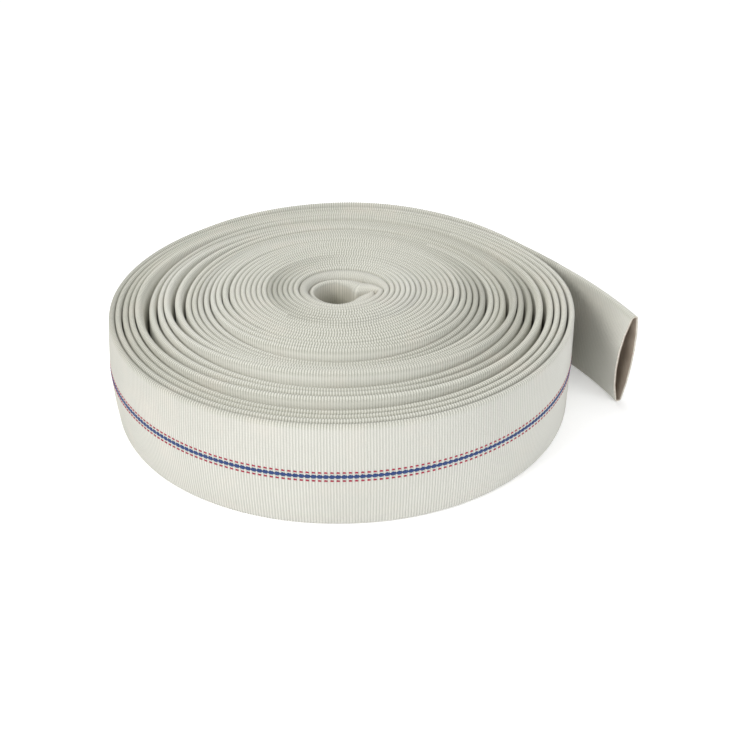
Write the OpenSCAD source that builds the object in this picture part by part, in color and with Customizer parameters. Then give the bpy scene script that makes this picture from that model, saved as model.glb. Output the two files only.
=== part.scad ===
// A lined layflat fire hose without couplings, wound into a flat roll. The last
// 0.2 m has come away from the roll and its cut end stands open.
// Origin: on the roll's axis at the height of the surface that the roll lies on.
// The winding runs clockwise outwards as seen from above. Millimetres, +Z up.

/* [Hose] */
// Width of the hose when it lies flat
flat_w = 84; // [70:1:95]
// Thickness of the flat hose, both walls together
flat_t = 3.9; // [3.8:0.1:4.0]
// Thickness of the woven jacket's wall
jacket_t = 1.2; // [1.0:0.1:1.2]
// Thickness of the rubber lining's wall
lining_t = 0.6; // [0.4:0.1:0.6]

/* [Roll] */
// Free play between two turns that touch
play = 0.3; // [0.25:0.05:0.4]
// Outer radius of the winding where the tight core starts, two turns in
core_start_r = 35.4; // [35:0.2:38]
// Distance of the core's centre from the roll's axis, towards the back
core_shift = 4; // [0:1:8]
// Height that the core has worked itself up by
core_lift = 8; // [0:1:10]

/* [Tail] */
// Length of hose that has come off the roll
tail_len = 203; // [180:1:220]
// Radius of the tail's bend
tail_r = 380; // [340:10:450]
// Opening of the cut end's inner wall, towards the roll
mouth_near = 8; // [4:1:9]
// Opening of the cut end's outer wall, away from the roll
mouth_far = 5; // [2:1:6]

/* [Marker yarns] */
// Height of the blue yarn's centre line
blue_z = 42.5; // [38:0.5:46]
// Height of the blue yarn
blue_h = 2.8; // [2:0.2:4]
// Distance from the blue yarn's centre line to a red yarn's
red_dz = 3.4; // [3:0.2:5]
// Height of a red yarn
red_h = 1.2; // [1:0.1:1.6]

/* [Hidden] */
turns = 31;
steps = 32;
eye_start = 5 / 32;
eye_end = 2;
core_seam = 8.5;
core_end = 15;
middle_end = 26;
peel_dir = 50;
core_side = -1.5;
// Share of the slack that is pressed out where the tail pulls at the back right
pressed = 0.28;
pressed_dir = 45;
yarn_t = 0.15;
pitch = flat_t + play;

// Radius of the two innermost turns, which form the eye: [turn, radius]
EYE = [[5 / 32, 30], [8 / 32, 27.5], [12 / 32, 26.5], [20 / 32, 25.5], [28 / 32, 20.5], [33 / 32, 25],
       [37 / 32, 34.2], [40 / 32, 33.5], [44 / 32, 32.6], [52 / 32, 33.4], [60 / 32, 34.4],
       [2, core_start_r]];
// Room that the inner end takes up on the right of every turn outside it
inner_end_push = 3;

// Slack between neighbouring turns, from the outermost gap inwards, to the
// [left, back, right, front]
SLACK = [[0.4, 3.5, 1.1, 0.8], [1.5, 0.3, 0.3, 1.2], [0.3, 0.5, 0.3, 0.8], [0.3, 0.5, 3.3, 5.0],
         [7.3, 0.5, 3.3, 3.5], [2.1, 5.0, 3.0, 3.0], [0.3, 0.5, 0.8, 8.0], [5.0, 0.5, 5.0, 0.5],
         [4.0, 0.8, 0.3, 0.5], [0.5, 4.0, 0.6, 0.3], [0.5, 0.6, 2.5, 0.3], [0.7, 0.6, 1.2, 0.5],
         [1.0, 0.8, 0.8, 5.0], [0.3, 0.8, 0.8, 0.5], [1.0, 0.8, 0.9, 0.5], [1.6, 1.9, 1.0, 1.0]];
SIDES = [180, 90, 0, 270];

// Tail: places along it of its three bends, half of the cut at each, and the cut end
bend_at = 70;
tip_at = 138;
cut = 1.5;
tail_steps = 9;
heading = peel_dir - 89;

JACKET = "gainsboro";
LINING = "dimgray";
BLUE = "royalblue";
RED = "crimson";

// ---- The winding ----

function dir_at(t) = peel_dir + 360 * (turns - t);
function side_share(angle, side) =
    let (d = abs((angle - side + 540) % 360 - 180)) d < 90 ? pow(cos(d), 2) : 0;
// Turn at which the winding starts to pass outside gap j on one side
function past(j, side) = turns - j - ((side - peel_dir + 360) % 360) / 360 + 0.5;
function sum(v, i = 0) = i < len(v) ? v[i] + sum(v, i + 1) : 0;
function loose(angle) =
    let (d = abs((angle - pressed_dir + 540) % 360 - 180)) d < 45 ? 1 - pressed * pow(cos(2 * d), 2) : 1;
function slack(t) =
    loose(dir_at(t)) * sum([for (j = [1 : len(SLACK)]) for (k = [0 : 3])
         if (t > past(j, SIDES[k])) SLACK[j - 1][k] * side_share(dir_at(t), SIDES[k])]);
function push(t) = t > eye_start + 1.5 ? inner_end_push * side_share(dir_at(t), 0) : 0;
function wound_r(t) =
    t < eye_end ? lookup(t, EYE) + push(t) : core_start_r + pitch * (t - eye_end) + push(t) + slack(t);
// Point of the winding, depth below its outer face
function wound(t, depth) =
    [core_side, core_shift] + (wound_r(t) - depth) * [cos(dir_at(t)), sin(dir_at(t))];

// Outline of the strip between two turn counts and two depths
module wound_outline(t0, t1, d0, d1) {
    n = round((t1 - t0) * steps);
    ts = [for (i = [0 : n]) t0 + (t1 - t0) * i / n];
    polygon(concat([for (t = ts) wound(t, d0)], [for (i = [n : -1 : 0]) wound(ts[i], d1)]));
}

// Flat tube between two turn counts: outer size less the inset, wall as given
module wound_tube(t0, t1, inset, wall, z0) {
    difference() {
        translate([0, 0, z0 + inset])
            linear_extrude(flat_w - 2 * inset) wound_outline(t0, t1, inset, flat_t - inset);
        translate([0, 0, z0 + inset + wall])
            linear_extrude(flat_w - 2 * (inset + wall))
                wound_outline(t0, t1, inset + wall, flat_t - inset - wall);
    }
}

module wound_yarn(t0, t1, z, h, z0) {
    translate([0, 0, z0 + z - h / 2])
        linear_extrude(h) wound_outline(t0, t1, -yarn_t, 0);
}

// ---- The tail ----

peel_mid = wound(turns, flat_t / 2);
bend_centre = peel_mid + tail_r * [sin(heading), -cos(heading)];
function turned(s) = heading + 90 - s / tail_r * 180 / PI;
// Point on the tail, s along it and off to its far side
function on_tail(s, off) = bend_centre + (tail_r + off) * [cos(turned(s)), sin(turned(s))];

module tail_outline(s0, s1, off0, off1) {
    ss = [for (i = [0 : tail_steps]) s0 + (s1 - s0) * i / tail_steps];
    polygon(concat([for (s = ss) on_tail(s, off1)],
                   [for (i = [tail_steps : -1 : 0]) on_tail(ss[i], off0)]));
}

module tail_tube(s0, s1, inset, wall) {
    half = flat_t / 2 - inset;
    difference() {
        translate([0, 0, inset])
            linear_extrude(flat_w - 2 * inset) tail_outline(s0, s1, -half, half);
        translate([0, 0, inset + wall])
            linear_extrude(flat_w - 2 * (inset + wall))
                tail_outline(s0, s1, wall - half, half - wall);
    }
}

module tail_yarn(s0, s1, z, h) {
    translate([0, 0, z - h / 2])
        linear_extrude(h) tail_outline(s0, s1, flat_t / 2, flat_t / 2 + yarn_t);
}

// ---- The open end ----

mouth_start = tip_at + cut;
mouth_side = 12;
function opened(s) = pow(max(0, s - mouth_start) / (tail_len - mouth_start), 2);
// Distance of a wall from the middle plane at a height: side is 1 far, -1 near
function wall_off(s, z, inset, side) =
    side * (flat_t / 2 - inset
            + (side > 0 ? mouth_far : mouth_near) * opened(s) * sin(180 * z / flat_w));
function mouth_ring(s, inset) =
    let (zs = [for (i = [0 : mouth_side]) inset + (flat_w - 2 * inset) * i / mouth_side])
    concat([for (z = zs) [each on_tail(s, wall_off(s, z, inset, 1)), z]],
           [for (i = [mouth_side : -1 : 0])
            [each on_tail(s, wall_off(s, zs[i], inset, -1)), zs[i]]]);

// Wall of the open end between two insets, as one closed shell
module mouth_tube(outer, inner) {
    ss = [for (i = [0 : tail_steps]) mouth_start + (tail_len - mouth_start) * i / tail_steps];
    m = 2 * (mouth_side + 1);
    rings = len(ss);
    points = concat([for (s = ss) each mouth_ring(s, outer)], [for (s = ss) each mouth_ring(s, inner)]);
    function at(skin, ring, k) = (skin * rings + ring) * m + k % m;
    faces = concat(
        [for (r = [0 : rings - 2]) for (k = [0 : m - 1])
         [at(0, r, k), at(0, r, k + 1), at(0, r + 1, k + 1), at(0, r + 1, k)]],
        [for (r = [0 : rings - 2]) for (k = [0 : m - 1])
         [at(1, r, k), at(1, r + 1, k), at(1, r + 1, k + 1), at(1, r, k + 1)]],
        [for (k = [0 : m - 1]) [at(0, 0, k + 1), at(0, 0, k), at(1, 0, k), at(1, 0, k + 1)]],
        [for (k = [0 : m - 1])
         [at(0, rings - 1, k), at(0, rings - 1, k + 1), at(1, rings - 1, k + 1), at(1, rings - 1, k)]]);
    polyhedron(points, [for (f = faces) each [[f[2], f[1], f[0]], [f[3], f[2], f[0]]]]);
}

module mouth_yarn(z, h) {
    ss = [for (i = [0 : tail_steps]) mouth_start + (tail_len - mouth_start) * i / tail_steps];
    translate([0, 0, z - h / 2])
        linear_extrude(h)
            polygon(concat([for (s = ss) on_tail(s, wall_off(s, z, 0, 1) + yarn_t)],
                           [for (i = [tail_steps : -1 : 0])
                            on_tail(ss[i], wall_off(ss[i], z, 0, 1))]));
}

// ---- One module per sub-part ----

module jacket(t0, t1, z0) { color(JACKET) wound_tube(t0, t1, 0, jacket_t, z0); }
module lining(t0, t1, z0) { color(LINING) wound_tube(t0, t1, jacket_t, lining_t, z0); }
module blue_yarn(t0, t1, z0) { color(BLUE) wound_yarn(t0, t1, blue_z, blue_h, z0); }
module red_yarn(t0, t1, up, z0) { color(RED) wound_yarn(t0, t1, blue_z + up * red_dz, red_h, z0); }

module tail_jacket(s0, s1) { color(JACKET) tail_tube(s0, s1, 0, jacket_t); }
module tail_lining(s0, s1) { color(LINING) tail_tube(s0, s1, jacket_t, lining_t); }
module tail_blue_yarn(s0, s1) { color(BLUE) tail_yarn(s0, s1, blue_z, blue_h); }
module tail_red_yarn(s0, s1, up) { color(RED) tail_yarn(s0, s1, blue_z + up * red_dz, red_h); }

module mouth_jacket() { color(JACKET) mouth_tube(0, jacket_t); }
module mouth_lining() { color(LINING) mouth_tube(jacket_t, jacket_t + lining_t); }
module mouth_blue_yarn() { color(BLUE) mouth_yarn(blue_z, blue_h); }
module mouth_red_yarn(up) { color(RED) mouth_yarn(blue_z + up * red_dz, red_h); }

// Lengths of the winding: [from turn, to turn, lift]
LENGTHS = [["eye", eye_start, eye_end, core_lift],
           ["core_inner", eye_end, core_seam, core_lift], ["core_outer", core_seam, core_end, core_lift],
           ["middle", core_end, middle_end, core_lift / 2],
           ["outer", middle_end, turns - cut / (2 * PI * wound_r(turns)), 0]];
for (l = LENGTHS) {
    jacket(l[1], l[2], l[3]);
    lining(l[1], l[2], l[3]);
    blue_yarn(l[1], l[2], l[3]);
    red_yarn(l[1], l[2], 1, l[3]);
    red_yarn(l[1], l[2], -1, l[3]);
}

// Lengths of the tail: [from, to]
TAIL = [["tail_root", cut, bend_at - cut], ["tail_middle", bend_at + cut, tip_at - cut]];
for (l = TAIL) {
    tail_jacket(l[1], l[2]);
    tail_lining(l[1], l[2]);
    tail_blue_yarn(l[1], l[2]);
    tail_red_yarn(l[1], l[2], 1);
    tail_red_yarn(l[1], l[2], -1);
}

mouth_jacket();
mouth_lining();
mouth_blue_yarn();
mouth_red_yarn(1);  // mouth_upper_red_yarn
mouth_red_yarn(-1);  // mouth_lower_red_yarn
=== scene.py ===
"""A rolled layflat fire hose: woven jacket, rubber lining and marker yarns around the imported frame.

The hose is one long flattened tube. Its route is the winding from the inner end to the place
where the tail leaves the roll, and then the tail's bend to the open cut end. Every piece is a
grid wrapped round a length of that route. The route and the section are worked out in
millimetres, and every point is turned into metres as it is placed.
"""

import logging
import math
from dataclasses import dataclass, field
from enum import Enum
from typing import Any, Callable, Optional

import bmesh
import bpy
import numpy as np
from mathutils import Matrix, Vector


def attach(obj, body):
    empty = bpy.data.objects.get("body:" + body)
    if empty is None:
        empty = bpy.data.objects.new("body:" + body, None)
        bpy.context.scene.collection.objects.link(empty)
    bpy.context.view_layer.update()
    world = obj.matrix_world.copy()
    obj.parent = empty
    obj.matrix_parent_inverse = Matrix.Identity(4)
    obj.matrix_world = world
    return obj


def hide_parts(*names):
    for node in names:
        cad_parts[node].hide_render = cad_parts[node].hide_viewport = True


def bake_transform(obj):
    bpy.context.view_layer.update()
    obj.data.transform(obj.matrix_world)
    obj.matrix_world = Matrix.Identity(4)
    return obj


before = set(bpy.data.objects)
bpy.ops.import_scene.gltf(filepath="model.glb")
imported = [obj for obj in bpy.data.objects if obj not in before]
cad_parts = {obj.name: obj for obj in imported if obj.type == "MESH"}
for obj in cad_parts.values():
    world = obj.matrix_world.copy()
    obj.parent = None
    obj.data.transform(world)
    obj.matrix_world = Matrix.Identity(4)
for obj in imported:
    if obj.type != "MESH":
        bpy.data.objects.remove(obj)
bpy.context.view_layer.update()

log = logging.getLogger("hose")
MM = 0.001
RIB = 2.07 * MM
HALF_RIB = RIB / 2
STITCH = 4.12 * MM
# Crest and valley colours of the outside weave; the valley colour's darkness is painted shade between the
# ribs, and it also tints the random patches.
OUTSIDE_BRIGHT = (0.705, 0.700, 0.648, 1.0)
OUTSIDE_DULL = (0.475, 0.475, 0.428, 1.0)


class Slot(Enum):
    """Material slots of the record."""

    JACKET = "woven_jacket"
    LINING = "rubber_lining"
    BLUE = "blue_marker_yarn"
    RED = "red_marker_yarn"


class Side(Enum):
    """Directions on the roll, in degrees from +X."""

    LEFT = 180.0
    BACK = 90.0
    RIGHT = 0.0
    FRONT = 270.0


# ---- Shader expressions ----


class Wire:
    """A node socket whose arithmetic adds Math nodes."""

    def __init__(self, tree: bpy.types.NodeTree, socket: bpy.types.NodeSocket) -> None:
        """Keeps the tree and the socket."""
        self.tree = tree
        self.socket = socket

    def _math(self, operation: str, *values: Any) -> "Wire":
        """Adds one Math node.

        Args:
            operation: the node's operation.
            values: wires or numbers, in order.

        Returns:
            The node's output.
        """
        node = self.tree.nodes.new("ShaderNodeMath")
        node.operation = operation
        for i, value in enumerate(values):
            if isinstance(value, Wire):
                self.tree.links.new(value.socket, node.inputs[i])
            else:
                node.inputs[i].default_value = value
        return Wire(self.tree, node.outputs[0])

    def __add__(self, other: Any) -> "Wire":
        """Sum."""
        return self._math("ADD", self, other)

    __radd__ = __add__

    def __mul__(self, other: Any) -> "Wire":
        """Product."""
        return self._math("MULTIPLY", self, other)

    __rmul__ = __mul__

    def __sub__(self, other: Any) -> "Wire":
        """Difference."""
        return self._math("SUBTRACT", self, other)

    def __rsub__(self, other: Any) -> "Wire":
        """Difference from a number."""
        return self._math("SUBTRACT", other, self)

    def sine(self) -> "Wire":
        """Sine of the value."""
        return self._math("SINE", self)

    def power(self, exponent: float) -> "Wire":
        """Value to a power."""
        return self._math("POWER", self, exponent)

    def clamped(self) -> "Wire":
        """Value held between 0 and 1."""
        return self._math("MINIMUM", self._math("MAXIMUM", self, 0.0), 1.0)

    def ramp(self, low: float, high: float) -> "Wire":
        """0 at low, 1 at high, and straight between them."""
        return ((self - low) * (1.0 / (high - low))).clamped()


class Shader:
    """A material's node tree, built with expressions."""

    def __init__(self, name: str) -> None:
        """Makes an empty material with a Principled shader.

        Args:
            name: the material's name.
        """
        self.material = bpy.data.materials.new(name)
        self.material.use_nodes = True
        self.tree = self.material.node_tree
        self.tree.nodes.clear()
        self.out = self.tree.nodes.new("ShaderNodeOutputMaterial")
        self.surface = self.tree.nodes.new("ShaderNodeBsdfPrincipled")
        self.tree.links.new(self.surface.outputs["BSDF"], self.out.inputs["Surface"])

    def node(self, kind: str, output: Any = 0, settings: Optional[dict] = None, **values: Any) -> Wire:
        """Adds a node.

        Args:
            kind: the node's type.
            output: name or number of the output to return.
            settings: properties that are set before the sockets.
            values: socket values or wires; an underscore stands for a space.

        Returns:
            The chosen output.
        """
        node = self.tree.nodes.new(kind)
        for key, value in (settings or {}).items():
            setattr(node, key, value)
        for key, value in values.items():
            socket = node.inputs[int(key[1:])] if key[0] == "_" else node.inputs[key.replace("_", " ")]
            if isinstance(value, Wire):
                self.tree.links.new(value.socket, socket)
            else:
                socket.default_value = value
        return Wire(self.tree, node.outputs[output])

    def parts(self, vector: Wire) -> tuple[Wire, Wire, Wire]:
        """Splits a vector into x, y and z."""
        x = self.node("ShaderNodeSeparateXYZ", Vector=vector)
        outputs = x.socket.node.outputs
        return Wire(self.tree, outputs[0]), Wire(self.tree, outputs[1]), Wire(self.tree, outputs[2])

    def noise(self, vector: Wire, scale: float, detail: float = 2.0) -> Wire:
        """Noise on a vector, about 0.5 in the middle."""
        return self.node("ShaderNodeTexNoise", Vector=vector, Scale=scale, Detail=detail)

    def mixed(self, share: Any, a: Any, b: Any) -> Wire:
        """Mixes two colours.

        Args:
            share: share of b, a wire or a number.
            a: first colour, a wire or (r, g, b, 1).
            b: second colour.

        Returns:
            The mixed colour.
        """
        return self.node("ShaderNodeMix", 2, {"data_type": "RGBA"}, _0=share, _6=a, _7=b)

    def finish(self, color: Any, roughness: Any, bump: Optional[Wire], depth: float,
               **constants: float) -> None:
        """Feeds the shader.

        Args:
            color: base colour.
            roughness: roughness.
            bump: height from 0 to 1, or None.
            depth: what a height of 1 stands for, in metres.
            constants: values of other sockets.
        """
        for name, value in (("Base Color", color), ("Roughness", roughness)):
            if isinstance(value, Wire):
                self.tree.links.new(value.socket, self.surface.inputs[name])
            else:
                self.surface.inputs[name].default_value = value
        if bump is not None:
            normal = self.node("ShaderNodeBump", Height=bump, Distance=depth, Strength=1.0)
            self.tree.links.new(normal.socket, self.surface.inputs["Normal"])
        for name, value in constants.items():
            self.surface.inputs[name.replace("_", " ")].default_value = value


@dataclass(frozen=True)
class WovenFinish:
    """Off-white polyester weave: weft ribs round the tube, crossed by warp yarns."""

    name: str
    # Crest colours and valley colours; the valleys' darkness is painted shade between the ribs, by default
    # darkest at the fold and mildest on the soft part.
    bright: tuple = (0.800, 0.795, 0.735, 1.0)
    dull: tuple = (0.560, 0.562, 0.505, 1.0)
    fold_bright: tuple = (0.720, 0.720, 0.655, 1.0)
    fold_valley_shade: tuple = (0.340, 0.340, 0.285, 1.0)
    soft_bright: tuple = (0.640, 0.635, 0.570, 1.0)
    soft_dull: tuple = (0.460, 0.460, 0.410, 1.0)
    warm: tuple = (0.720, 0.650, 0.575, 1.0)
    # Colour of the painted shade low down between the turns.
    painted_deep_shade: tuple = (0.360, 0.350, 0.265, 1.0)
    # Colour of the painted shade on the tail's inner face.
    painted_tail_shade: tuple = (0.160, 0.155, 0.105, 1.0)
    warp: float = 1.25 * MM
    shade_from: float = 0.086
    shade_depth: float = 0.0
    relief: float = 0.40 * MM
    fold_at: float = 83.2 * MM
    fold_reach: float = 5.5 * MM
    # Weight of the painted shade on the tail's inner face.
    painted_tail_shade_weight: float = 0.0
    smooth_until: float = 0.0

    def material(self) -> bpy.types.Material:
        """Builds the material.

        Returns:
            The material.
        """
        s = Shader(self.name)
        place = s.node("ShaderNodeTexCoord", "Object")
        _, back, height = s.parts(place)
        along, around, _ = s.parts(s.node("ShaderNodeUVMap", settings={"uv_map": "UVMap"}))
        turn = 2 * math.pi
        rib = (along * (turn / RIB) + math.pi / 2).sine() * 0.5 + 0.5
        cross = (around * (turn / self.warp) + along * (math.pi / RIB)).sine() * 0.5 + 0.5
        fibre = s.noise(place, 2600.0, 3.0)
        knots = rib * (0.55 + cross * 0.45) + fibre * 0.25
        patches = s.noise(place, 9.0, 3.0).ramp(0.42, 0.66)
        stains = s.noise(place, 26.0, 2.0).ramp(0.54, 0.74)
        off_fold = around - self.fold_at
        fold = 1.0 - (off_fold * off_fold).ramp((2.0 * MM) ** 2, self.fold_reach**2)
        # Painted shade: the valleys between the ribs take the darker colours, most of all near the fold.
        valley = s.mixed(fold, self.dull, self.fold_valley_shade)
        crest = s.mixed(fold, self.bright, self.fold_bright)
        if self.smooth_until > 0:
            soft = 1.0 - along.ramp(self.smooth_until, self.smooth_until + 0.06)
            valley = s.mixed(soft, valley, self.soft_dull)
            crest = s.mixed(soft, crest, self.soft_bright)
        # On the tail's inner face the valley colour is lifted halfway to the crest colour, easing the painted
        # shade between the ribs there.
        if self.painted_tail_shade_weight > 0:
            valley = s.mixed(around.ramp(0.086, 0.089) * 0.5, valley, crest)
        color = s.mixed(knots.ramp(0.10, 0.80), valley, crest)
        color = s.mixed(patches * 0.22, color, self.dull)
        color = s.mixed(stains * 0.20, color, self.warm)
        # Painted shade: below shade_from the colour darkens towards a dark olive with depth, standing in for
        # the shade down in the gaps between turns.
        if self.shade_depth > 0:
            painted_deep_shade_share = (self.shade_from - height).ramp(0.0, self.shade_depth)
            color = s.mixed(painted_deep_shade_share.power(0.8) * 0.92, color, self.painted_deep_shade)
        # Painted shade: on the tail's inner face the colour darkens towards a near-black olive, more towards
        # the back and lower down, standing in for the roll's shadow.
        if self.painted_tail_shade_weight > 0:
            inner = around.ramp(0.086, 0.089) * back.ramp(-0.03, 0.09) * (1.0 - height.ramp(0.0, 0.12) * 0.6)
            color = s.mixed(inner * self.painted_tail_shade_weight, color, self.painted_tail_shade)
        s.finish(color, 0.80 + fibre * 0.12, knots, self.relief, Sheen_Weight=0.12, Sheen_Roughness=0.6,
                 Specular_IOR_Level=0.25)
        return s.material


@dataclass(frozen=True)
class LiningFinish:
    """Matt taupe rubber with the weave's print in it."""

    name: str = "taupe_rubber"
    base: tuple = (0.235, 0.190, 0.148, 1.0)
    pale: tuple = (0.325, 0.270, 0.215, 1.0)

    def material(self) -> bpy.types.Material:
        """Builds the material."""
        s = Shader(self.name)
        place = s.node("ShaderNodeTexCoord", "Object")
        along, around, _ = s.parts(s.node("ShaderNodeUVMap", settings={"uv_map": "UVMap"}))
        print_ = (along * (2 * math.pi / RIB)).sine() * (around * (2 * math.pi / RIB)).sine() * 0.5 + 0.5
        cloud = s.noise(place, 60.0, 3.0)
        color = s.mixed(cloud.ramp(0.35, 0.7), self.base, self.pale)
        s.finish(color, 0.62 + cloud * 0.2, print_, 0.1 * MM)
        return s.material


@dataclass(frozen=True)
class YarnFinish:
    """Dyed polyester yarn, twisted, a little worn on top."""

    name: str
    dyed: tuple
    worn: tuple

    def material(self) -> bpy.types.Material:
        """Builds the material."""
        s = Shader(self.name)
        place = s.node("ShaderNodeTexCoord", "Object")
        along, around, _ = s.parts(s.node("ShaderNodeUVMap", settings={"uv_map": "UVMap"}))
        twist = (along * (2 * math.pi / (0.7 * MM)) + around * (2 * math.pi / (0.5 * MM))).sine() * 0.5 + 0.5
        fuzz = s.noise(place, 1500.0, 2.0)
        color = s.mixed((fuzz.ramp(0.45, 0.8) * 0.5 + twist * 0.18), self.dyed, self.worn)
        s.finish(color, 0.75 + fuzz * 0.15, twist, 0.12 * MM, Sheen_Weight=0.1)
        return s.material


@dataclass(frozen=True)
class CutFinish:
    """Cut edge of jacket and lining at the open end: frayed beige."""

    name: str = "cut_rim"

    def material(self) -> bpy.types.Material:
        """Builds the material."""
        s = Shader(self.name)
        place = s.node("ShaderNodeTexCoord", "Object")
        fray = s.noise(place, 900.0, 3.0)
        color = s.mixed(fray.ramp(0.35, 0.65), (0.50, 0.46, 0.39, 1.0), (0.72, 0.69, 0.62, 1.0))
        s.finish(color, 0.9, fray, 0.4 * MM)
        return s.material


@dataclass(frozen=True)
class FloorFinish:
    """Pale studio floor with the faintest grain."""

    name: str = "pale_floor"

    def material(self) -> bpy.types.Material:
        """Builds the material."""
        s = Shader(self.name)
        grain = s.noise(s.node("ShaderNodeTexCoord", "Object"), 3.0, 2.0)
        pale = s.mixed(grain, (0.93, 0.93, 0.93, 1.0), (0.96, 0.96, 0.96, 1.0))
        s.finish(pale, 0.9, None, 0.0, Emission_Strength=0.25)
        return s.material


# ---- The route ----


@dataclass
class Route:
    """Route of the hose's middle plane from the inner end to the open end.

    The winding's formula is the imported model's own; lift, lean, puff and belly are how the
    loose turns stand in it, and grow is how far the last turns stand off it.
    """

    turns: float = 31.0
    eye_start: float = 5 / 32
    eye_end: float = 2.0
    core_start_r: float = 35.4
    pitch: float = 4.2
    thickness: float = 3.9
    centre: tuple = (-1.5, 4.0)
    peel_dir: float = 50.0
    pressed: float = 0.28
    inner_end_push: float = 3.0
    tail_len: float = 203.0
    tail_r: float = 380.0
    per_turn: int = 256
    eye: tuple = ((5, 30), (8, 27.5), (12, 26.5), (20, 25.5), (28, 20.5), (33, 25), (37, 34.2), (40, 33.5),
                  (44, 32.6), (52, 33.4), (60, 34.4), (64, 35.4))
    slack: tuple = (
        (0.4, 3.5, 1.1, 0.8), (1.5, 0.3, 0.3, 1.2), (0.3, 0.5, 0.3, 0.8), (0.3, 0.5, 3.3, 5.0),
        (7.3, 0.5, 3.3, 3.5), (2.1, 5.0, 3.0, 3.0), (0.3, 0.5, 0.8, 8.0), (5.0, 0.5, 5.0, 0.5),
        (4.0, 0.8, 0.3, 0.5), (0.5, 4.0, 0.6, 0.3), (0.5, 0.6, 2.5, 0.3), (0.7, 0.6, 1.2, 0.5),
        (1.0, 0.8, 0.8, 5.0), (0.3, 0.8, 0.8, 0.5), (1.0, 0.8, 0.9, 0.5), (1.6, 1.9, 1.0, 1.0))
    # Height of each turn, counted from the outside: (turn, mm), for each side
    lifts: dict = field(default_factory=lambda: {
        Side.FRONT: ((1, 0), (2, 0.3), (3, 0.2), (4, 0), (5, 5.5), (6, 4.5), (7, 2.5), (8, 10), (9, 8),
                     (10, 6), (11, 4.5), (12, 3.5), (13, 2.5), (14, 9), (15, 8.5), (16, 8), (30, 8)),
        Side.LEFT: ((1, 0), (2, 0.5), (3, 1), (4, 1.5), (5, 2.5), (6, 0), (7, 3), (8, 4), (9, 3), (10, 1),
                    (11, 1.5), (12, 2.5), (13, 3.5), (14, 5), (15, 6.5), (16, 8), (30, 8)),
        Side.RIGHT: ((1, 0.5), (2, 1.5), (4, 1), (5, 1.5), (6, 0), (7, 3), (8, 4), (9, 1), (10, 1), (11, 2),
                     (12, 4), (13, 4.5), (14, 5), (15, 6), (16, 8), (30, 8)),
        Side.BACK: ((1, 4), (2, 2.5), (3, 2), (4, 2.5), (5, 3), (6, 3.5), (7, 2), (8, 2.5), (9, 3), (10, 4),
                    (11, 3.5), (12, 4.5), (13, 5), (14, 6), (16, 7.5), (18, 8), (30, 8)),
    })

    # How far the last turns stand off the winding's formula: (direction, mm)
    grow: tuple = ((0, 4.5), (45, 5.5), (70, 3.5), (90, 1.5), (135, -3.5), (180, 0.5), (225, 2.5), (270, 1.5),
                   (315, 3.5), (360, 4.5))
    grow_from: float = 25.5
    tail_grow_len: float = 130.0
    belly_mm: float = 3.0

    def __post_init__(self) -> None:
        """Samples the winding and the tail into tables against length."""
        n = round((self.turns - self.eye_start) * self.per_turn)
        t = np.linspace(self.eye_start, self.turns, n + 1)
        share = np.clip((t - self.grow_from) / (self.turns - self.grow_from), 0, 1)
        directions, grown = zip(*self.grow)
        wide = share * np.interp(self.direction(t) % 360, directions, grown)
        r_mid = self.radius(t) - self.thickness / 2
        a = np.radians(self.direction(t))
        x, y = self.centre[0] + r_mid * np.cos(a), self.centre[1] + r_mid * np.sin(a)
        heading = math.radians(self.peel_dir - 89)
        bend = (x[-1] + self.tail_r * math.sin(heading), y[-1] - self.tail_r * math.cos(heading))
        s_tail = np.linspace(0, self.tail_len + 12, 216)[1:]
        b = heading + math.pi / 2 - s_tail / self.tail_r
        self.t = t
        s = np.concatenate([[0], np.cumsum(np.hypot(np.diff(x), np.diff(y)))])
        self.wound_len = float(s[-1])
        self.s = np.concatenate([s, s[-1] + s_tail])
        off = wide[-1] * (1 + np.cos(np.pi * np.clip(s_tail / self.tail_grow_len, 0, 1))) / 2
        self.x = np.concatenate([x + wide * np.cos(a), bend[0] + (self.tail_r + off) * np.cos(b)])
        self.y = np.concatenate([y + wide * np.sin(a), bend[1] + (self.tail_r + off) * np.sin(b)])
        tx, ty = np.gradient(self.x), np.gradient(self.y)
        k = np.hypot(tx, ty)
        self.nx, self.ny = -ty / k, tx / k
        inside = self.radius(t) - self.radius(np.maximum(t - 1, self.eye_start)) - self.pitch
        inside[t < self.eye_start + 1.0] = 0
        fade = np.clip((t - 2.2) / 0.8, 0, 1)
        zero = np.zeros(len(s_tail))
        tip = self.eye_start
        gap = np.maximum(inside, 0) * fade
        gap_out = np.where(t < self.turns - 1, np.interp(t + 1, t, gap), 0)
        self.lean = np.concatenate([gap, zero])
        self.lean_out = np.concatenate([gap_out, zero])
        puff = np.clip(inside, 0, 9) * 0.86 * np.clip((2.7 - t) / 0.5, 0, 1) + np.interp(
            t, [tip, tip + 0.08, tip + 0.26, tip + 0.70, tip + 0.88, tip + 0.97, tip + 1.0],
            [6.0, 9.0, 0.0, 0.0, 12.0, 5.0, 0.0])
        self.puff = np.concatenate([puff, zero])
        last = self.lift(t) - np.interp(t, [1.0, tip + 1.0], [3.0, 0.0])
        self.up = np.concatenate([last, last[-1] * np.clip(1 - s_tail / 60, 0, 1)])
        belly = np.concatenate([np.clip((t - 30.1) / 0.3, 0, 1), np.clip(1 - s_tail / 90, 0, 1)])
        self.belly = belly * self.belly_mm
        self.loose_out = np.concatenate([np.clip((29.5 - t) / 0.5, 0, 1), zero])

    def direction(self, t: np.ndarray) -> np.ndarray:
        """Direction from the core's centre at a turn count, in degrees."""
        return self.peel_dir + 360 * (self.turns - t)

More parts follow.
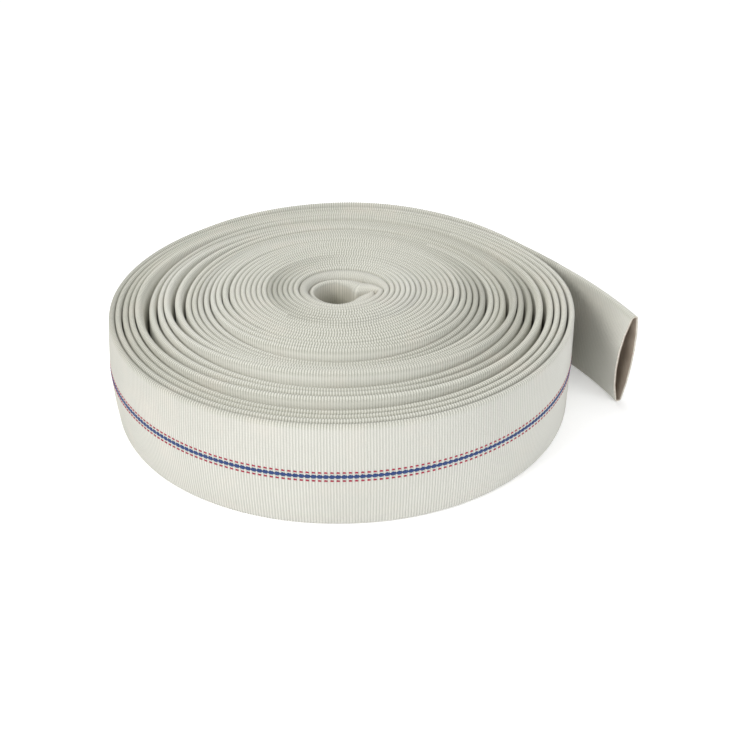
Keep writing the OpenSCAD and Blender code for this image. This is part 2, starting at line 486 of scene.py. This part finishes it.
    def share(self, t: np.ndarray, side: Side) -> np.ndarray:
        """How far a place faces a side, from 0 to 1."""
        d = np.abs((self.direction(t) - side.value + 540) % 360 - 180)
        return np.where(d < 90, np.cos(np.radians(d)) ** 2, 0)

    def radius(self, t: np.ndarray) -> np.ndarray:
        """Radius of the hose's outer face at a turn count, in mm."""
        push = np.where(t > self.eye_start + 1.5, self.inner_end_push * self.share(t, Side.RIGHT), 0)
        near = np.abs((self.direction(t) - 45 + 540) % 360 - 180)
        loose = np.where(near < 45, 1 - self.pressed * np.cos(np.radians(2 * near)) ** 2, 1)
        slack = np.zeros_like(t)
        for j, row in enumerate(self.slack, 1):
            for side, gap in zip(Side, row):
                past = self.turns - j - ((side.value - self.peel_dir) % 360) / 360 + 0.5
                slack += np.where(t > past, gap * self.share(t, side), 0)
        eye = np.interp(t, [k / 32 for k, _ in self.eye], [r for _, r in self.eye])
        wound = self.core_start_r + self.pitch * (t - self.eye_end) + loose * slack
        return np.where(t < self.eye_end, eye, wound) + push

    def lift(self, t: np.ndarray) -> np.ndarray:
        """Height that a place of the winding has worked itself up by, in mm."""
        total = np.zeros_like(t)
        for side, knots in self.lifts.items():
            first = self.turns - ((side.value - self.peel_dir) % 360) / 360
            turn, height = zip(*knots)
            total += self.share(t, side) * np.interp(1 + first - t, turn, height)
        return total

    def length_at(self, t: float) -> float:
        """Length from the inner end to a turn count, in mm."""
        return float(np.interp(t, self.t, self.s[: len(self.t)]))

    def tail_point(self, s: float) -> tuple[float, float, float]:
        """Point on the tail's middle plane, s mm from where it leaves the roll, in metres."""
        at = self.wound_len + s
        return (float(np.interp(at, self.s, self.x)) * MM, float(np.interp(at, self.s, self.y)) * MM, 0.042)


@dataclass
class Section:
    """Section of the flattened hose, and how it opens towards the cut end. Millimetres."""

    route: Route
    width: float = 84.0
    jacket: float = 1.2
    lining: float = 0.6
    face_points: int = 6
    fold_points: int = 3
    mouth_from: float = 139.5
    mouth_near: float = 7.4
    mouth_far: float = 4.0
    mouth_shape: float = 0.62
    cut_slant: float = 4.6
    rib_height: float = 0.15
    fold_relief: float = 1.9
    tip_len: float = 7.0

    def ring(self) -> list[tuple[float, float, float]]:
        """Places round the section.

        Returns:
            For each place the side (1 outer, -1 inner), the share of the height and the share of
            the fold, where 0 is on a face; the outer face comes first, upwards.
        """
        up = [i / (self.face_points - 1) for i in range(self.face_points)]
        arc = [math.pi * (i + 1) / (self.fold_points + 1) for i in range(self.fold_points)]
        places = [(1.0, f, 0.0) for f in up]
        places += [(math.cos(a), 1.0, math.sin(a)) for a in arc]
        places += [(-1.0, f, 0.0) for f in reversed(up)]
        places += [(-math.cos(a), 0.0, -math.sin(a)) for a in arc]
        return places

    def count(self) -> int:
        """Number of places round the section."""
        return 2 * (self.face_points + self.fold_points)

    def perimeter(self) -> np.ndarray:
        """Distance round the section at each place and at the closed end, in mm."""
        fold = math.pi * self.route.thickness / 2 / (self.fold_points + 1)
        face = (self.width - self.route.thickness) / (self.face_points - 1)
        steps = []
        for _ in range(2):
            steps += [face] * (self.face_points - 1) + [fold] * (self.fold_points + 1)
        return np.concatenate([[0], np.cumsum(steps)])

    def opened(self, s: np.ndarray) -> np.ndarray:
        """How far the cut end stands open, from 0 to 1."""
        run = s - self.route.wound_len
        return np.clip((run - self.mouth_from) / (self.route.tail_len - self.mouth_from), 0, 1.1) ** 2

    def tip(self, s: np.ndarray) -> np.ndarray:
        """Share of the full thickness near the inner end, which is rounded."""
        near = np.clip(1 - s / self.tip_len, 0, 1)
        return np.maximum(np.sqrt(1 - near**2), 0.93 - 0.45 * near)

    def place(self, s: np.ndarray, side: np.ndarray, share: np.ndarray, fold: np.ndarray, inset: float,
              rib: np.ndarray) -> np.ndarray:
        """Puts places of the section into space.

        Args:
            s: length along the route.
            side: 1 on the outer face, -1 on the inner face, between them on a fold.
            share: share of the height.
            fold: height of the fold's arc there, with its sign.
            inset: distance inwards from the jacket's outside.
            rib: 1 on a rib's crest, -1 in its valley.

        Returns:
            Points in metres, one row each.
        """
        r = self.route
        puff = np.interp(s, r.s, r.puff)
        lean = np.interp(s, r.s, r.lean)
        half = (r.thickness / 2 - inset + puff / 2) * self.tip(s)
        relief = self.rib_height * rib * (1 if inset == 0 else 0)
        cap = np.minimum(half, r.thickness / 2 - inset + puff * 0.3)
        face = self.width - 2 * inset - 2 * cap
        z = inset + cap + share * face + fold * (cap + self.fold_relief * relief)
        rel = np.clip(z / self.width, 0, 1)
        bow = np.sin(np.pi * rel) ** self.mouth_shape * self.opened(s)
        off = side * (half + relief * (1 + np.abs(fold))) - puff / 2
        off = off + np.where(side > 0, side * self.mouth_far * bow, side * self.mouth_near * bow)
        depth = (1 - rel) * self.width
        foot = 1 - 0.5 * (1 - rel) ** 2
        sag_in = (1 - np.exp(-((depth / 5.2) ** 1.3))) * foot * 0.64
        meet = (1 - np.exp(-((depth / 4.5) ** 1.3))) * foot * 0.30
        sag_out = (1 - np.exp(-((depth / 16.0) ** 1.5))) * foot * 0.35 * np.interp(s, r.s, r.loose_out)
        off = off - lean * np.where(side < 0, sag_in, sag_out)
        off = off + np.where(side > 0, np.interp(s, r.s, r.lean_out) * meet, 0)
        off = off + np.where(side > 0, np.interp(s, r.s, r.belly) * np.sin(np.pi * rel), 0)
        run = s - r.wound_len
        slant = self.cut_slant * (rel * 2 - 1) * np.clip((run - 150) / 53, 0, 1)
        at = s + slant
        x, y = np.interp(at, r.s, r.x), np.interp(at, r.s, r.y)
        nx, ny = np.interp(at, r.s, r.nx), np.interp(at, r.s, r.ny)
        return np.stack([x + off * nx, y + off * ny, z + np.interp(s, r.s, r.up)], axis=1) * MM

    def on_outside(self, s: np.ndarray, z: np.ndarray, proud: np.ndarray) -> np.ndarray:
        """Points on the outer face at a height, standing proud of it.

        Args:
            s: length along the route.
            z: height on the flat hose.
            proud: distance out of the face.

        Returns:
            Points in metres.
        """
        one = np.ones_like(s)
        cap = self.route.thickness / 2
        share = (z - cap) / (self.width - 2 * cap)
        face = self.place(s, one, share, 0 * one, 0.0, 0 * one)
        r = self.route
        n = np.stack([np.interp(s, r.s, r.nx), np.interp(s, r.s, r.ny), 0 * s], axis=1)
        return face + n * proud[:, None] * MM


class Grid:
    """A piece made from a grid that is wrapped round the route."""

    def __init__(self, name: str) -> None:
        """Starts an empty piece with its UV layer."""
        self.name = name
        self.bm = bmesh.new()
        self.uv = self.bm.loops.layers.uv.new("UVMap")

    def wrap(self, columns: np.ndarray, rows: int, points: Callable[[np.ndarray, np.ndarray], np.ndarray],
             around: np.ndarray, inward: bool = False, slot: int = 0) -> tuple[list, list]:
        """Adds one closed skin.

        Args:
            columns: length along the route of each column, in mm.
            rows: number of places round the skin.
            points: gives the points for column numbers and row numbers.
            around: distance round the skin at each row and at the closed end, in mm.
            inward: True for the inner skin of a wall.
            slot: material number of the faces.

        Returns:
            The rings of edges at the start and at the end.
        """
        n = len(columns) - 1
        made = bmesh.ops.create_grid(self.bm, x_segments=n, y_segments=rows, size=1.0, calc_uvs=True)
        verts = made["verts"]
        faces = list({face for vert in verts for face in vert.link_faces})
        flat = np.array([vert.co.to_tuple() for vert in verts])
        col = np.rint((flat[:, 0] + 1) / 2 * n).astype(int)
        row = np.rint((flat[:, 1] + 1) / 2 * rows).astype(int)
        for vert, point in zip(verts, points(col, row % rows).tolist()):
            vert.co = point
        along = ((columns - columns[0]) * MM).tolist()
        girth = (around * MM).tolist()
        for face in faces:
            face.smooth = True
            face.material_index = slot
            for loop in face.loops:
                uv = loop[self.uv].uv
                loop[self.uv].uv = (along[round(uv.x * n)], girth[round(uv.y * rows)])
        if inward:
            bmesh.ops.reverse_faces(self.bm, faces=faces)
        seam = [verts[i] for i in np.flatnonzero((row == 0) | (row == rows))]
        ends = [[verts[i] for i in np.flatnonzero(col == edge)] for edge in (0, n)]
        bmesh.ops.remove_doubles(self.bm, verts=seam, dist=1e-7)
        return self._ring(ends[0]), self._ring(ends[1])

    def _ring(self, verts: list) -> list:
        """Edges that join neighbouring vertices of a ring."""
        inside = {v for v in verts if v.is_valid}
        return list({e for v in inside for e in v.link_edges if e.other_vert(v) in inside and e.is_boundary})

    def bridge(self, a: list, b: list, slot: int = 0) -> None:
        """Closes the wall between an outer and an inner ring."""
        made = bmesh.ops.bridge_loops(self.bm, edges=a + b)
        for face in made["faces"]:
            face.material_index = slot

    def cap(self, ring: list) -> None:
        """Closes a ring with one face."""
        bmesh.ops.holes_fill(self.bm, edges=ring, sides=0)

    def piece(self, materials: list[bpy.types.Material]) -> bpy.types.Object:
        """Makes the object.

        Args:
            materials: materials in slot order.

        Returns:
            The object, at the origin.
        """
        bmesh.ops.recalc_face_normals(self.bm, faces=self.bm.faces)
        mesh = bpy.data.meshes.new(self.name)
        self.bm.to_mesh(mesh)
        self.bm.free()
        for material in materials:
            mesh.materials.append(material)
        obj = bpy.data.objects.new(self.name, mesh)
        bpy.context.scene.collection.objects.link(obj)
        return obj


@dataclass(frozen=True)
class Stretch:
    """A length of the hose that is made as one piece of each kind."""

    name: str
    start: float
    end: float
    cad: str
    ribbed: bool = True
    open_end: bool = False


@dataclass(frozen=True)
class Fixing:
    """How a stretch is fixed: it rides on one body, or it is meant to bend from one into the next and is left
    unattached where it stands.
    """

    body: str
    into: Optional[str] = None
    bend_at: float = 0.0
    reach: float = 0.0


@dataclass
class Hose:
    """The whole hose, made stretch by stretch."""

    route: Route
    section: Section
    skin_step: float = 8.2
    blue_z: float = 43.5
    blue_h: float = 4.3
    red_dz: float = 3.4
    red_h: float = 1.8
    dash: float = 2.3

    def columns(self, stretch: Stretch, step: float) -> np.ndarray:
        """Even columns along a stretch, an even number of steps."""
        n = 2 * max(2, round((stretch.end - stretch.start) / step / 2))
        return np.linspace(stretch.start, stretch.end, n + 1)

    def skin(self, grid: Grid, stretch: Stretch, step: float, inset: float, inward: bool,
             slot: int = 0) -> tuple[list, list]:
        """Adds one skin of the flat tube.

        Args:
            grid: the piece.
            stretch: the length of hose.
            step: distance between columns.
            inset: distance inwards from the jacket's outside.
            inward: True for the inner skin of a wall.
            slot: material number.

        Returns:
            Rings of edges at the start and at the end.
        """
        columns = self.columns(stretch, step)
        ring = np.array(self.section.ring())
        rib = 1.0 - 2.0 * (np.arange(len(columns)) % 2)
        rib = rib if inset == 0 and stretch.ribbed else rib * 0

        def points(col: np.ndarray, row: np.ndarray) -> np.ndarray:
            """Points of the skin."""
            return self.section.place(columns[col], ring[row, 0], ring[row, 1], ring[row, 2], inset, rib[col])

        return grid.wrap(columns, len(ring), points, self.section.perimeter(), inward, slot)

    def tube(self, name: str, stretch: Stretch, step: float, outside: float, wall: float,
             materials: list[bpy.types.Material]) -> bpy.types.Object:
        """A flat tube with a wall, closed at both ends of the wall."""
        grid = Grid(name)
        a0, a1 = self.skin(grid, stretch, step, outside, False)
        b0, b1 = self.skin(grid, stretch, self.skin_step, outside + wall, True)
        grid.bridge(a0, b0, 1 if stretch.start == 0 else 0)
        grid.bridge(a1, b1, 1 if stretch.open_end else 0)
        return grid.piece(materials)

    def yarn(self, name: str, stretch: Stretch, z: float, high: float, beaded: bool,
             material: bpy.types.Material) -> bpy.types.Object:
        """A marker yarn along a stretch.

        Args:
            name: the piece's name.
            stretch: the length of hose.
            z: height of its centre line.
            high: its height.
            beaded: True for a yarn that swells at each stitch, False for one that dives under.
            material: its finish.

        Returns:
            The piece.
        """
        n = max(1, int((stretch.end - stretch.start) / STITCH * MM))
        pitch = (stretch.end - stretch.start) / n
        if beaded:
            marks = [(0.0, 0.05, 0.30), (0.18, 0.40, 0.86), (0.5, 0.54, 1.0), (0.82, 0.40, 0.86)]
        else:
            half = self.dash / STITCH * MM / 2
            marks = [(0.5 - half - 0.06, -0.55, 0.5), (0.5 - half + 0.04, 0.34, 1.0),
                     (0.5 + half - 0.04, 0.34, 1.0), (0.5 + half + 0.06, -0.55, 0.5)]
        cols = [(stretch.start + (i + m[0]) * pitch, m[1], m[2]) for i in range(n) for m in marks]
        edge = cols[0][1:]
        cols = np.array([(stretch.start, *edge), *cols[1 if beaded else 0:], (stretch.end, *edge)])
        # Ring of the yarn: half height, and how proud it stands
        ring = np.array([(-1.0, -0.9), (-0.62, 0.55), (0.0, 1.0), (0.62, 0.55), (1.0, -0.9)])

        def points(col: np.ndarray, row: np.ndarray) -> np.ndarray:
            """Points of the yarn."""
            s, proud, wide = cols[col, 0], cols[col, 1], cols[col, 2]
            level = z + ring[row, 0] * high / 2 * wide
            crown = proud * np.where(proud > 0, ring[row, 1], 1)
            depth = np.where(ring[row, 1] < 0, np.minimum(proud, 0) - 0.55, crown)
            return self.section.on_outside(s, level, depth)

        grid = Grid(name)
        girth = np.array([0, 1.2, 1.9, 2.6, 3.8, 6.2])
        start, end = grid.wrap(cols[:, 0], len(ring), points, girth)
        grid.cap(start)
        grid.cap(end)
        return grid.piece([material])


@dataclass
class Dresser:
    hose: Hose
    eye_woven: bpy.types.Material
    core_woven: bpy.types.Material
    woven: bpy.types.Material
    last_woven: bpy.types.Material
    tail_woven: bpy.types.Material
    rubber: bpy.types.Material
    blue: bpy.types.Material
    red: bpy.types.Material
    rim: bpy.types.Material

    def fix(self, piece: bpy.types.Object, fixing: Fixing, slot: Slot, *nodes: str) -> None:
        """Fixes a piece to its body, or bakes a piece that is meant to bend where it stands, and hides its
        CAD nodes.

        Args:
            piece: the piece.
            fixing: the body it rides on, or the bend it is meant to follow, which is not made.
            slot: not used.
            nodes: the CAD nodes that it stands for.
        """
        if fixing.into is None:
            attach(piece, fixing.body)
        else:
            route = self.hose.route
            route.tail_point(fixing.bend_at - fixing.reach)
            route.tail_point(fixing.bend_at + fixing.reach)
            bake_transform(piece)
        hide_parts(*nodes)
        log.info("%s: %d faces", piece.name, len(piece.data.polygons))

    def jacket(self, stretch: Stretch, fixing: Fixing) -> None:
        special = {"eye": self.eye_woven, "core_inner": self.core_woven, "outer_last": self.last_woven}
        woven = self.tail_woven if fixing.into else special.get(stretch.name, self.woven)
        step = HALF_RIB / MM
        piece = self.hose.tube(f"woven_jacket_{stretch.name}", stretch, step, 0.0, self.hose.section.jacket,
                               [woven, self.rim])
        self.fix(piece, fixing, Slot.JACKET, f"{stretch.cad}_jacket")
        flat = (2 * self.hose.section.width * MM, (stretch.end - stretch.start) * MM)

    def inside(self, stretch: Stretch, fixing: Fixing) -> None:
        """Makes the rubber lining and the three marker yarns of a stretch."""
        hose, section = self.hose, self.hose.section
        lining = hose.tube(f"rubber_lining_{stretch.name}", stretch, hose.skin_step, section.jacket,
                           section.lining, [self.rubber, self.rubber])
        self.fix(lining, fixing, Slot.LINING, f"{stretch.cad}_lining")
        blue = hose.yarn(f"blue_yarn_{stretch.name}", stretch, hose.blue_z, hose.blue_h, True, self.blue)
        self.fix(blue, fixing, Slot.BLUE, f"{stretch.cad}_blue_yarn")
        for word, up in (("upper", 1), ("lower", -1)):
            red = hose.yarn(f"{word}_red_yarn_{stretch.name}", stretch, hose.blue_z + up * hose.red_dz,
                            hose.red_h, False, self.red)
            self.fix(red, fixing, Slot.RED, f"{stretch.cad}_{word}_red_yarn")


@dataclass
class Studio:
    """Camera, floor and soft lights."""

    camera_at: tuple = (0.0178, -0.8665, 0.5418)
    camera_tilt: float = 59.02
    lens: float = 60.3

    def camera(self) -> None:
        """Sets the camera."""
        data = bpy.data.cameras.new("camera")
        data.lens = self.lens
        data.sensor_width = 36.0
        obj = bpy.data.objects.new("camera", data)
        obj.location = self.camera_at
        obj.rotation_euler = (math.radians(self.camera_tilt), 0.0, 0.0)
        bpy.context.scene.collection.objects.link(obj)
        bpy.context.scene.camera = obj

    def light(self, name: str, at: tuple, size: float, power: float, color: tuple = (1.0, 1.0, 1.0)) -> None:
        """Adds a square soft light that faces the roll."""
        data = bpy.data.lights.new(name, "AREA")
        data.size = size
        data.energy = power
        data.color = color
        obj = bpy.data.objects.new(name, data)
        obj.location = at
        obj.rotation_euler = (Vector((0, 0, 0.05)) - Vector(at)).to_track_quat("-Z", "Y").to_euler()
        bpy.context.scene.collection.objects.link(obj)

    def floor(self) -> None:
        """Adds the floor."""
        bm = bmesh.new()
        bmesh.ops.create_grid(bm, x_segments=8, y_segments=8, size=6.0, calc_uvs=False)
        mesh = bpy.data.meshes.new("floor")
        bm.to_mesh(mesh)
        bm.free()
        mesh.materials.append(FloorFinish().material())
        obj = bpy.data.objects.new("floor", mesh)
        bpy.context.scene.collection.objects.link(obj)

    def build(self) -> None:
        """Sets the floor, the lights and the colour of the room."""
        self.floor()
        self.light("key", (-1.5, -1.15, 1.5), 1.0, 30.0, (1.0, 0.985, 0.955))
        self.light("fill", (1.3, -1.4, 1.1), 1.4, 14.5, (0.975, 0.985, 1.0))
        self.light("top", (0.0, 0.5, 2.2), 1.6, 13.0)
        world = bpy.data.worlds.new("studio")
        world.use_nodes = True
        world.node_tree.nodes["Background"].inputs["Color"].default_value = (1.0, 1.0, 1.0, 1.0)
        world.node_tree.nodes["Background"].inputs["Strength"].default_value = 0.52
        bpy.context.scene.world = world
        bpy.context.scene.view_settings.view_transform = "Standard"


def main() -> None:
    """Builds the studio and every stretch of the hose in order."""
    logging.basicConfig(level=logging.INFO, format="%(message)s")
    studio = Studio()
    studio.camera()
    route = Route()
    section = Section(route)
    hose = Hose(route, section)
    dresser = Dresser(
        hose,
        WovenFinish("weave_eye", shade_depth=0.030, shade_from=0.086, bright=(0.66, 0.64, 0.57, 1.0),
                    dull=(0.48, 0.47, 0.41, 1.0), fold_bright=(0.64, 0.635, 0.57, 1.0),
                    fold_valley_shade=(0.46, 0.46, 0.41, 1.0), relief=0.25 * MM).material(),
        WovenFinish("weave_core", shade_depth=0.045, shade_from=0.088, smooth_until=0.10).material(),
        WovenFinish("weave_wound", shade_depth=0.045, shade_from=0.088).material(),
        WovenFinish("weave_last", bright=OUTSIDE_BRIGHT, dull=OUTSIDE_DULL).material(),
        WovenFinish("weave_tail", painted_tail_shade_weight=0.92, bright=OUTSIDE_BRIGHT, dull=OUTSIDE_DULL).material(),
        LiningFinish().material(),
        YarnFinish("blue_yarn", (0.010, 0.036, 0.150, 1.0), (0.060, 0.120, 0.300, 1.0)).material(),
        YarnFinish("red_yarn", (0.36, 0.010, 0.040, 1.0), (0.54, 0.10, 0.14, 1.0)).material(),
        CutFinish().material(),
    )
    at, end = route.length_at, route.wound_len
    roll = Fixing("roll")
    seams = (end - 20.0, end + 35.0, end + 104.0, end + route.tail_len)
    tails = [
        (Stretch("tail_root", seams[0], seams[1], "tail_root"), Fixing("roll", "tail_root", 0.0, reach=19.0)),
        (Stretch("tail_middle", seams[1], seams[2], "tail_middle"),
         Fixing("tail_root", "tail_middle", 70.0, reach=29.0)),
        (Stretch("mouth", seams[2], seams[3], "mouth", open_end=True),
         Fixing("tail_middle", "mouth", 138.0, reach=29.0)),
    ]
    jackets = [("eye", 0.0, at(2), "eye"), ("core_inner", at(2), at(8.5), "core_inner"),
               ("core_outer", at(8.5), at(15), "core_outer"),
               ("middle_inner", at(15), at(20), "middle"), ("middle_outer", at(20), at(26), "middle"),
               ("outer_inner", at(26), at(29), "outer"), ("outer_last", at(29), seams[0], "outer")]
    for name, a, b, cad in jackets:
        dresser.jacket(Stretch(name, a, b, cad), roll)
    for stretch, fixing in tails:
        dresser.jacket(stretch, fixing)
    insides = (("eye", 0.0, at(2)), ("core_inner", at(2), at(8.5)), ("core_outer", at(8.5), at(15)),
               ("middle", at(15), at(26)), ("outer", at(26), seams[0]))
    for name, a, b in insides:
        dresser.inside(Stretch(name, a, b, name), roll)
    for stretch, fixing in tails:
        dresser.inside(stretch, fixing)
    studio.build()


if __name__ == "__main__":
    main()
